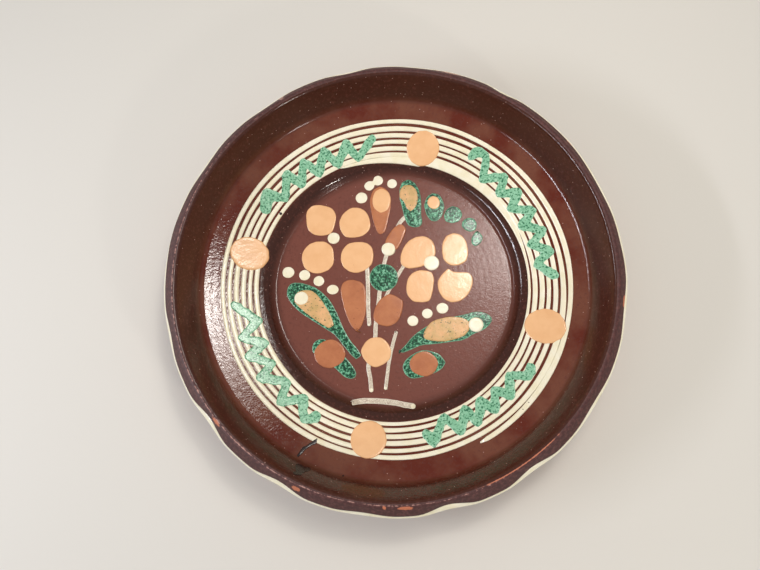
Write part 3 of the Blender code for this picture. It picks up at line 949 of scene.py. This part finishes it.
@dataclass
class SpiralLine:
    """One long line of cream slip, trailed on the turning plate from the outside in.

    Attributes:
        first_radius: Distance of its outer end from the axis, in mm.
        pitch: How far it comes in with each turn, in mm.
        turns: How often it goes round.
        start: Angle of its outer end, in degrees.
        width: Its width, in mm.
        rise: Its height over the brown coat, in mm.
        closing: How far it swings out over its last part, in mm, and how much it widens there.
        joining: How far it swings out, and widens, where it passes its outer end, in mm.
        thinning: How far its last whole turn swings out, and narrows, in mm.
        tip: Length over which it comes to a point at its inner end, in turns.
        steps_per_turn: Steps of the winding in each turn.
        sides: Corners of its section.
    """

    first_radius: float = 95.9
    pitch: float = 3.45
    turns: float = 6.49
    start: float = 297.4
    width: float = 2.42
    rise: float = 0.34
    closing: tuple[float, float] = (0.95, 1.75)
    joining: tuple[float, float] = (0.75, 0.6)
    thinning: tuple[float, float] = (0.45, 0.8)
    tip: float = 0.09
    steps_per_turn: int = 150
    sides: int = 12

    def angle(self, turn: float) -> float:
        """Gives the angle in degrees after a number of turns."""
        return self.start + 360 * turn

    def closed(self, turn: float) -> float:
        """Gives how far the line has opened out for its last part, from 0 to 1."""
        return ease((turn - self.turns + 0.3) / 0.1)

    def thinned(self, turn: float, until: float) -> float:
        """Gives how far the line has thinned in its last whole turn, from 0 to 1."""
        return ease((turn - 5.85) / 0.15) * (1 - ease((turn - until) / 0.1))

    def radius(self, turn: float) -> float:
        """Gives the centre line's distance from the axis, with the sway of the hand.

        Args:
            turn: Turns from the outer end.

        Returns:
            Distance in mm.
        """
        angle = math.radians(self.angle(turn))
        off_centre = 0.5 * min(turn / 2, 1) * math.cos(angle - math.radians(255))
        drift = 0.15 - 0.25 * math.sin(math.pi * turn / self.turns)
        tremble = 0.09 * math.sin(5 * angle + 2 * turn) + 0.06 * math.sin(11 * angle - turn)
        closing = self.closing[0] * self.closed(turn)
        joining = self.joining[0] * math.exp(-(((turn - 1.08) / 0.055) ** 2))
        thinning = self.thinning[0] * self.thinned(turn, 6.3)
        hugging = (self.width - self.breadth(turn)) / 2 if turn > self.turns - 0.1 else 0
        radius = self.first_radius - self.pitch * turn
        return radius + off_centre + drift + tremble + closing + joining + thinning + hugging

    def breadth(self, turn: float) -> float:
        """Gives the line's width after a number of turns.

        Args:
            turn: Turns from the outer end.

        Returns:
            Width in mm.
        """
        angle = math.radians(self.angle(turn))
        uneven = 0.22 * math.sin(3 * angle + 1.7 * turn) + 0.14 * math.sin(7 * angle - 2.3 * turn)
        closing = self.closing[1] * self.closed(turn)
        joining = math.exp(-(((turn % 1 - 0.08) / 0.055) ** 2)) if turn < 1.5 else 0
        change = closing + self.joining[1] * joining - self.thinning[1] * self.thinned(turn, 6.2)
        ends = min(0.35 + ease(turn / 0.012), math.sqrt(max(self.turns - turn, 0) / self.tip), 1)
        return (self.width + uneven + change) * max(ends, 0.05)

    def build(self) -> None:
        """Builds the line as one wound ribbon with a rounded top."""
        # It is wound on a wide coil first, so that each point's height tells its step
        coil, lift = 100.0, 100.0
        steps = round(self.turns * self.steps_per_turn)
        bm = bmesh.new()
        bmesh.ops.create_circle(bm, segments=self.sides, radius=0.5)
        rim = bm.verts.layers.float.new("rim")
        for vertex in bm.verts:
            across, up = vertex.co.x, vertex.co.y * 2
            up = math.copysign(abs(up) ** 0.7, up)
            vertex[rim] = up if up > 0 else 0
            vertex.co = Vector((coil + across, 0, up if up > 0 else up * 0.25))
        bmesh.ops.spin(
            bm,
            geom=bm.verts[:] + bm.edges[:],
            cent=(0, 0, 0),
            axis=(0, 0, 1),
            dvec=(0, 0, lift),
            angle=math.tau * self.turns,
            steps=steps,
            use_merge=False,
        )
        for vertex in bm.verts:
            step = round(vertex.co.z / lift)
            turn = self.turns * step / steps
            across = vertex.co.xy.length - coil
            up = (vertex.co.z - step * lift) * self.rise
            radius = self.radius(turn) + across * self.breadth(turn)
            angle = math.radians(self.angle(turn))
            thin = min(self.breadth(turn) / self.width, 1)
            vertex.co = Vector(
                (radius * math.cos(angle), radius * math.sin(angle), FACE.level(radius) + up * thin)
            )
        bmesh.ops.holes_fill(bm, edges=bm.edges, sides=self.sides)
        bmesh.ops.recalc_face_normals(bm, faces=bm.faces)
        finish_piece("cream_line_wound", bm, CREAM.material(), ("cream_spiral_line",))


@dataclass
class SlipDrop:
    """A drop or stroke of slip that lies on the face.

    Its outline is drawn smooth and filled, its edge is rounded over, and it is laid on the face.

    Attributes:
        rise: Height of its top over the brown coat, in mm.
        shoulder: Width of its rounded edge, in mm.
        cell: Spacing of the cuts that let it follow the flange, in mm.
        spacing: Spacing of the points round its outline, in mm.
        tremble: How uneven the outline is, in mm.
        softness: How many times the outline's points are averaged with their neighbours.
        foot: Height of its upright edge, in mm.
    """

    rise: float = 0.45
    shoulder: float = 0.8
    cell: float = 1.5
    spacing: float = 0.55
    tremble: float = 0.12
    softness: int = 2
    foot: float = 0.12

    def smooth_outline(self, corners: list[Vector]) -> list[Vector]:
        """Draws a smooth closed line through corners, which stays sharp where they turn sharply.

        Args:
            corners: Corners of the outline, in mm, in order.

        Returns:
            Points of the line, in mm, a little uneven as a hand leaves it.
        """
        points = []
        count = len(corners)
        for index in range(count):
            a, b, c, d = (corners[(index + n) % count] for n in (-1, 0, 1, 2))
            span = (c - b).length
            leave = (c - a).normalized() * span * max((b - a).normalized().dot((c - b) / span), 0)
            arrive = (d - b).normalized() * span * max((d - c).normalized().dot((c - b) / span), 0)
            pieces = max(1, round(span / self.spacing))
            for step in range(pieces):
                t = step / pieces
                points.append(
                    b * (2 * t**3 - 3 * t**2 + 1)
                    + leave * (t**3 - 2 * t**2 + t)
                    + c * (3 * t**2 - 2 * t**3)
                    + arrive * (t**3 - t**2)
                )
        for _ in range(self.softness):
            points = [
                (before + 2 * here + after) / 4
                for before, here, after in zip(points[-1:] + points, points, points[1:] + points[:1])
            ]
        uneven = [point + noise.noise_vector(point * 0.45) * self.tremble for point in points]
        return [Vector((point.x, point.y, 0)) for point in uneven]

    def mound(self, bm: bmesh.types.BMesh) -> None:
        """Gives flat faces a thickness and a rounded edge.

        Args:
            bm: The flat outlines, in mm; their faces look up.
        """
        bottoms = bm.faces[:]
        grown = bmesh.ops.extrude_face_region(bm, geom=bottoms)
        tops = [part for part in grown["geom"] if isinstance(part, bmesh.types.BMFace)]
        if sum(face.normal.z for face in tops) < 0:
            tops = bottoms
        for vertex in {corner for face in tops for corner in face.verts}:
            vertex.co.z = self.foot
        before = 0.0
        for turn in (28, 52, 72, 90):
            across = self.shoulder * (1 - math.cos(math.radians(turn)))
            bmesh.ops.inset_region(
                bm,
                faces=tops,
                thickness=across - before,
                depth=0,
                use_even_offset=True,
                use_boundary=True,
            )
            before = across
            up = self.foot + (self.rise - self.foot) * math.sin(math.radians(turn))
            for vertex in {corner for face in tops for corner in face.verts}:
                vertex.co.z = up

    def cut(self, bm: bmesh.types.BMesh) -> None:
        """Cuts the shape into cells small enough to follow the face."""
        for axis in (0, 1):
            low = min(vertex.co[axis] for vertex in bm.verts)
            high = max(vertex.co[axis] for vertex in bm.verts)
            normal = Vector((1, 0, 0)) if axis == 0 else Vector((0, 1, 0))
            for n in range(1, math.ceil((high - low) / self.cell)):
                bmesh.ops.bisect_plane(
                    bm,
                    geom=bm.verts[:] + bm.edges[:] + bm.faces[:],
                    dist=1e-4,
                    plane_co=normal * (low + n * self.cell),
                    plane_no=normal,
                )

    def lay(
        self,
        name: str,
        outlines: list[list[Vector]],
        finish: GlazedSlip,
        nodes: tuple[str, ...] = (),
    ) -> None:
        """Finishes outlines as slip on the plate.

        Args:
            name: Name of the piece.
            outlines: Corners of each closed outline, in mm.
            finish: What it is painted with.
            nodes: CAD nodes that the piece stands for.
        """
        bm = bmesh.new()
        for corners in outlines:
            bm.faces.new([bm.verts.new(point) for point in self.smooth_outline(corners)])
        bm.normal_update()
        bmesh.ops.reverse_faces(bm, faces=[face for face in bm.faces if face.normal.z < 0])
        edge = kdtree.KDTree(len(bm.verts))
        for index, vertex in enumerate(bm.verts):
            edge.insert(vertex.co, index)
        edge.balance()
        self.mound(bm)
        self.cut(bm)
        rim = bm.verts.layers.float.new("rim")
        for vertex in bm.verts:
            flat = Vector((vertex.co.x, vertex.co.y, 0))
            vertex[rim] = edge.find(flat)[2]
            swell = 0.05 * noise.noise(flat * 0.25) if vertex.co.z > 0.2 else 0
            vertex.co.z += FACE.level(flat.length) + swell
        bmesh.ops.recalc_face_normals(bm, faces=bm.faces)
        finish_piece(name, bm, finish.material(), nodes)


def disc(centre: tuple[float, float], radius: float) -> list[Vector]:
    """Gives the outline of a round drop.

    Args:
        centre: Its middle, in mm.
        radius: Its radius, in mm.

    Returns:
        Corners of the outline, in mm.
    """
    turns = [math.tau * n / 9 for n in range(9)]
    return [Vector((*centre, 0)) + Vector((math.cos(t), math.sin(t), 0)) * radius for t in turns]


def stroke(line: list[Vector], half_widths: list[float]) -> list[Vector]:
    """Gives the outline of a broad stroke with round corners and ends.

    Args:
        line: Its centre line, in mm.
        half_widths: Half its width at each point, in mm.

    Returns:
        Corners of the outline, in mm.
    """
    outline = []
    for rail, halves in ((line, half_widths), (line[::-1], half_widths[::-1])):
        along = [(b - a).normalized() for a, b in zip(rail, rail[1:], strict=False)]
        left = [Vector((-way.y, way.x, 0)) for way in along]
        for here, half, first, second in zip(rail[1:], halves[1:], left, [*left[1:], -left[-1]]):
            turn = math.pi if here is rail[-1] else first.xy.angle_signed(second.xy)
            if turn < 0:
                outline.append(here + (first + second) * half / (1 + first.dot(second)))
                continue
            pieces = max(1, round(math.degrees(turn) / 35))
            for step in range(pieces + 1):
                arm = first.copy()
                arm.rotate(Matrix.Rotation(-turn * step / pieces, 3, "Z"))
                outline.append(here + arm * half)
    return outline


def outline_of(node: str) -> list[Vector]:
    """Takes the outline of a CAD deposit.

    Args:
        node: Name of the CAD node.

    Returns:
        Its corners seen from above, in mm.
    """
    bm = bmesh.new()
    bm.from_mesh(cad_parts[node].data)
    bmesh.ops.scale(bm, vec=(1 / MM, 1 / MM, 1 / MM), verts=bm.verts)
    bmesh.ops.remove_doubles(bm, verts=bm.verts, dist=1e-3)
    bm.normal_update()
    sides = [face for face in bm.faces if face.normal.z < 0.5]
    bmesh.ops.delete(bm, geom=sides, context="FACES")
    for vertex in bm.verts:
        vertex.co.z = 0
    bmesh.ops.dissolve_faces(bm, faces=bm.faces[:])
    bmesh.ops.remove_doubles(bm, verts=bm.verts, dist=0.25)
    face = max(bm.faces, key=lambda face: face.calc_area())
    corners = [vertex.co.copy() for vertex in face.verts]
    bm.free()
    return corners


def layer_of(node: str) -> int:
    """Gives how many deposits lie under a CAD deposit.

    Args:
        node: Name of the CAD node.

    Returns:
        0 for one that lies straight on the brown coat, or on the wound line for a flange mark.
    """
    lowest = min(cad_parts[node].data.vertices, key=lambda vertex: vertex.co.z).co / MM
    over = lowest.z - FACE.level(math.hypot(lowest.x, lowest.y))
    return max(0, round((over - 0.3) / 0.8))


@dataclass(frozen=True)
class Zigzag:
    """A green stroke trailed to and fro across the wound line.

    Attributes:
        corners: Angle in degrees and distance from the axis in mm of each corner, in order.
        start: Points that lead in to it, in mm.
        end: Points that lead out of it, in mm.
        blobs: Indices of the points where slip gathered.
    """

    corners: tuple[tuple[float, float], ...]
    start: tuple[tuple[float, float], ...] = ()
    end: tuple[tuple[float, float], ...] = ()
    blobs: tuple[int, ...] = ()

    def line(self) -> list[Vector]:
        """Gives the points of its centre line, in mm."""
        turns = [(math.radians(angle), radius) for angle, radius in self.corners]
        middle = [(radius * math.cos(turn), radius * math.sin(turn)) for turn, radius in turns]
        return [Vector((x, y, 0)) for x, y in (*self.start, *middle, *self.end)]


@dataclass
class FlangeMarks:
    """Peach dots and green zigzags that lie over the wound line.

    Attributes:
        half_width: Half the width of a zigzag's stroke, in mm.
        sway: How much that goes up and down along the stroke, in mm.
        blob: How much is added to it where slip gathered, in mm.
        zigzags: The strokes.
    """

    half_width: float = 2.45
    sway: float = 0.25
    blob: float = 0.8
    zigzags: dict[str, Zigzag] = field(
        default_factory=lambda: {
            "upper_right": Zigzag(
                (
                    (49.4, 79.4), (43.4, 87.2), (40.2, 79.2), (35.6, 86.8), (32.3, 79.0), (27.1, 87.4),
                    (24.1, 79.2), (18.5, 87.6), (15.3, 79.6), (10.7, 87.6), (6.9, 79.8), (1.6, 87.6),
                ),
                start=((45.2, 73.0), (48.6, 75.6), (53.6, 72.8)),
            ),
            "upper_left": Zigzag(
                (
                    (143.9, 88.2), (140.8, 79.6), (133.6, 88.0), (131.7, 79.0), (125.8, 87.6),
                    (123.0, 78.4), (116.9, 87.2), (114.0, 77.6), (108.0, 86.6), (105.0, 77.0),
                    (97.9, 86.2),
                ),
                start=((-72.3, 43.6),),
                blobs=(0, 1),
            ),
            "lower_left": Zigzag(
                (
                    (188.3, 88.0), (195.7, 77.6), (200.5, 87.6), (205.1, 77.8), (207.6, 87.8),
                    (213.9, 79.0), (216.5, 88.0), (223.3, 78.8), (227.5, 88.0), (232.4, 79.2),
                    (237.6, 87.8),
                ),
                end=((-41.2, -72.6),),
                blobs=(11,),
            ),
            "lower_right": Zigzag(
                (
                    (283.7, 88.0), (290.1, 77.2), (293.6, 87.0), (298.9, 78.2), (299.9, 87.4),
                    (305.4, 79.2), (307.5, 87.0), (312.3, 79.4), (314.7, 86.8), (320.3, 79.8),
                    (324.0, 87.8),
                ),
                start=((16.8, -81.2),),
                end=((72.6, -46.8),),
            ),
        }
    )

    def build(self) -> None:
        """Builds the dots and the zigzags."""
        dot = SlipDrop(rise=0.62, shoulder=1.0, tremble=0.25)
        for place in ("top", "left", "bottom", "right"):
            node = f"ring_dot_{place}"
            dot.lay(f"{node}_dripped", [outline_of(node)], PEACH, (node,))
        trail = SlipDrop(rise=0.58, shoulder=0.8, cell=1.3, tremble=0.55, softness=8)
        for place, zigzag in self.zigzags.items():
            node = f"zigzag_{place}"
            line = zigzag.line()
            halves = [self.half_width + self.sway * math.sin(2.3 * n) for n in range(len(line))]
            for index in zigzag.blobs:
                halves[index] += self.blob
            outline = stroke(line, halves)
            trail.lay(f"{node}_trailed", [outline], COPPER_MINT, (node,))


@dataclass
class Bouquet:
    """The flower, buds, leaves and stems on the floor, each a deposit of slip of its own.

    Attributes:
        thin: Deposits that were brushed on thinly.
        flecked: Peach deposits that lie over green ones.
        drops: Name, place and radius in mm of each bead of cream at the end of a stroke.
        rises: Height over the brown coat of a deposit that has none, one or two below it, in mm.
        neck: Where the last two leaves touch, in mm.
        neck_way: Direction from the one to the other.
    """

    thin: tuple[str, ...] = ("stem_main", "stem_left", "stem_lower_right", "ground_line")
    flecked: tuple[str, ...] = (
        "heart_of_leaf_tall", "heart_of_leaf_long_left", "heart_of_leaf_long_right"
    )
    drops: tuple[tuple[str, tuple[float, float], float], ...] = (
        ("drop_stem_foot", (-12.2, -58.3), 1.3),
        ("drop_stem_right", (-4.5, -57.3), 1.2),
        ("drop_stem_left", (-13.6, -22.3), 1.1),
        ("drop_ground_line", (10.4, -66.9), 1.5),
    )
    rises: tuple[float, ...] = (0.32, 0.52, 0.72)
    neck: tuple[float, float] = (46.3, 31.1)
    neck_way: tuple[float, float] = (-0.42, 0.91)

    def parted(self, outline: list[Vector]) -> list[list[Vector]]:
        """Parts the outline of the last two leaves at its neck.

        Args:
            outline: The outline of the pair, in mm.

        Returns:
            An outline for each leaf.
        """
        along = Vector((*self.neck_way, 0))
        neck = Vector((*self.neck, 0))
        leaves = []
        for way in (1, -1):
            leaf = [corner for corner in outline if (corner - neck).dot(along) * way > -0.4]
            leaves.append([corner + along * way * 0.5 for corner in leaf])
        return leaves

    def build(self) -> None:
        """Builds every deposit of the floor, the lowest ones first."""
        body = ("clay", "brown", "cream", "ring_dot", "zigzag")
        names = [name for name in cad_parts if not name.startswith(body)]
        for name in sorted(names, key=lambda name: (layer_of(name), name)):
            slot = Slot(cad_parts[name].data.materials[0].name.split(".")[0])
            finish = FINISH_OF[slot]
            if name in self.thin:
                finish = THIN_CREAM
            if name in self.flecked:
                finish = FLECKED_PEACH
            drop = SlipDrop(rise=self.rises[min(layer_of(name), 2)])
            outlines = [outline_of(name)]
            if name == "leaf_trailing_pair":
                outlines = self.parted(outlines[0])
            drop.lay(f"{name}_painted", outlines, finish, (name,))
        for name, centre, radius in self.drops:
            bead = SlipDrop(rise=0.5, shoulder=0.7, tremble=0.05)
            bead.lay(name, [disc(centre, radius)], CREAM)


@dataclass
class KilnMarks:
    """Dark runs and specks of manganese that fell on the glaze.

    Attributes:
        runs: Name of each run, the points of its line and its width at each point, in mm.
        specks: Name, place and radius in mm of each speck.
    """

    runs: tuple[tuple[str, list[tuple[float, float]], list[float]], ...] = (
        (
            "dark_run",
            [(-39.6, -83.8), (-40.4, -85.0), (-42.6, -86.4), (-45.6, -88.2), (-48.4, -91.9)],
            [0.8, 1.9, 1.4, 1.7, 1.6],
        ),
        ("dark_smear", [(-47.8, -95.8), (-45.8, -98.0), (-42.0, -98.0)], [1.4, 2.8, 1.7]),
        ("dark_smear_end", [(-47.4, -99.0), (-45.0, -99.2)], [1.4, 2.2]),
    )
    specks: tuple[tuple[str, tuple[float, float], float], ...] = (
        ("dark_speck_low", (-25.3, -101.4), 0.55),
        ("dark_speck_left", (-64.3, 41.5), 0.9),
        ("pinhole_outer", (69.8, -65.4), 0.4),
        ("pinhole_inner", (66.6, -68.8), 0.4),
    )

    def build(self) -> None:
        """Builds the marks."""
        for name, points, widths in self.runs:
            line = [Vector((x, y, 0)) for x, y in points]
            thin = SlipDrop(rise=0.5, shoulder=0.4, spacing=0.4, tremble=0.4)
            outline = stroke(line, [width / 2 for width in widths])
            thin.lay(name, [outline], MANGANESE)
        for name, centre, radius in self.specks:
            speck = SlipDrop(rise=0.55, shoulder=0.3, spacing=0.3, tremble=0.1)
            speck.lay(name, [disc(centre, radius)], MANGANESE)


# Studio


@dataclass
class SoftBox:
    """A soft studio light, square or a level strip.

    Attributes:
        name: Its name.
        place: Where it stands, in mm.
        side: Length of its side, in mm.
        power: Its power in watts.
        colour: Its colour.
        glint: Whether it shows in the glaze's reflections.
        length: Its level length where that isn't its side, in mm.
        shade: Whether it lights the colours too, and not only the glaze.
    """

    name: str
    place: tuple[float, float, float]
    side: float
    power: float
    colour: str = "#ffffff"
    glint: bool = True
    length: float = 0.0
    shade: bool = True

    def build(self) -> None:
        """Puts the light up, facing the plate."""
        data = bpy.data.lights.new(self.name, "AREA")
        data.shape = "RECTANGLE"
        data.size = (self.length or self.side) * MM
        data.size_y = self.side * MM
        data.energy = self.power
        data.color = linear(self.colour)[:3]
        light = bpy.data.objects.new(self.name, data)
        light.location = Vector(self.place) * MM
        light.rotation_euler = (-light.location).to_track_quat("-Z", "Y").to_euler()
        light.visible_camera = False
        light.visible_glossy = self.glint
        light.visible_diffuse = self.shade
        bpy.context.scene.collection.objects.link(light)


@dataclass
class Studio:
    """Pale floor, soft lights and the camera above the plate.

    Attributes:
        floor_size: Side of the square floor, in mm.
        floor_colour: Colour of its paper.
        sky_colour: Colour of the light from all round.
        ambient: Strength of that light.
        aim: Point in the middle of the view, in mm.
        back: X and Y of the unit vector that points from there to the camera.
        distance: How far away the camera is, in mm.
        lens: Its focal length, in mm.
        boxes: The lights.
    """

    floor_size: float = 6000.0
    floor_colour: str = "#d8d5cf"
    sky_colour: str = "#f2f1ee"
    aim: tuple[float, float, float] = (-6.6, -4.09, 27.0)
    back: tuple[float, float] = (0.0433, -0.2172)
    distance: float = 319.1
    lens: float = 28.421
    ambient: float = 0.5
    boxes: tuple[SoftBox, ...] = (
        SoftBox("key_upper_right", (150, 175, 630), 260, 1.65, "#fff6ea", glint=False),
        SoftBox("lamp_upper_right", (135, 158, 568), 60, 0.42, "#fffaf4"),
        SoftBox("fill_left", (-560, -110, 380), 30, 1.6, "#f4f6ff", length=300),
        SoftBox("strip_left", (-560, -110, 380), 40, 2.4, "#f4f6ff", length=640, shade=False),
        SoftBox("glare_upper_right", (140, 185, 560), 120, 0.4, "#fffaf4", shade=False),
        SoftBox("lamp_lower_right", (330, -440, 330), 40, 0.55, "#fffaf2"),
    )

    def build(self) -> None:
        """Sets up the floor, the lights and the camera."""
        bm = bmesh.new()
        bmesh.ops.create_grid(bm, x_segments=2, y_segments=2, size=self.floor_size / 2 * MM)
        bmesh.ops.translate(bm, verts=bm.verts, vec=(0, 0, -0.2 * MM))
        mesh = bpy.data.meshes.new("studio_floor")
        bm.to_mesh(mesh)
        bm.free()
        floor = bpy.data.objects.new("studio_floor", mesh)
        bpy.context.scene.collection.objects.link(floor)
        mesh.materials.append(self.paper())
        world = bpy.data.worlds.new("soft_room")
        world.use_nodes = True
        sky = world.node_tree.nodes["Background"]
        sky.inputs["Color"].default_value = linear(self.sky_colour)
        sky.inputs["Strength"].default_value = self.ambient
        bpy.context.scene.world = world
        bpy.context.scene.view_settings.view_transform = "Standard"
        for box in self.boxes:
            box.build()
        self.camera()

    def paper(self) -> bpy.types.Material:
        """Makes the matt paper of the floor, with a faint tooth."""
        material, tree, shader, place = new_material("matt_backdrop_paper")
        tooth = add_node(tree, "ShaderNodeTexNoise", {"Scale": per_mm(3), "Detail": 3.0}, {"Vector": place})
        bump = add_node(
            tree, "ShaderNodeBump", {"Distance": 0.05 * MM}, {"Height": tooth.outputs["Fac"]}
        )
        shader.inputs["Base Color"].default_value = linear(self.floor_colour)
        shader.inputs["Roughness"].default_value = 0.9
        tree.links.new(bump.outputs["Normal"], shader.inputs["Normal"])
        return material

    def camera(self) -> None:
        """Puts the camera above the plate, leaning a little towards its lower edge."""
        x, y = self.back
        back = Vector((x, y, math.sqrt(1 - x * x - y * y)))
        right = Vector((0, 1, 0)).cross(back).normalized()
        up = back.cross(right)
        data = bpy.data.cameras.new("camera")
        data.lens = self.lens
        data.clip_start = 0.01
        camera = bpy.data.objects.new("camera", data)
        turn = Matrix((right, up, back)).transposed().to_4x4()
        camera.matrix_world = Matrix.Translation((Vector(self.aim) + back * self.distance) * MM) @ turn
        bpy.context.scene.collection.objects.link(camera)
        bpy.context.scene.camera = camera


def main() -> None:
    """Builds the plate's pieces in order, then the studio."""
    logging.basicConfig(level=logging.INFO, format="%(name)s: %(message)s")
    noise.seed_set(SEED)
    body = PlateBody()
    body.clay()
    body.brown_coat()
    body.cream_band()
    SpiralLine().build()
    FlangeMarks().build()
    Bouquet().build()
    KilnMarks().build()
    Studio().build()


if __name__ == "__main__":
    main()
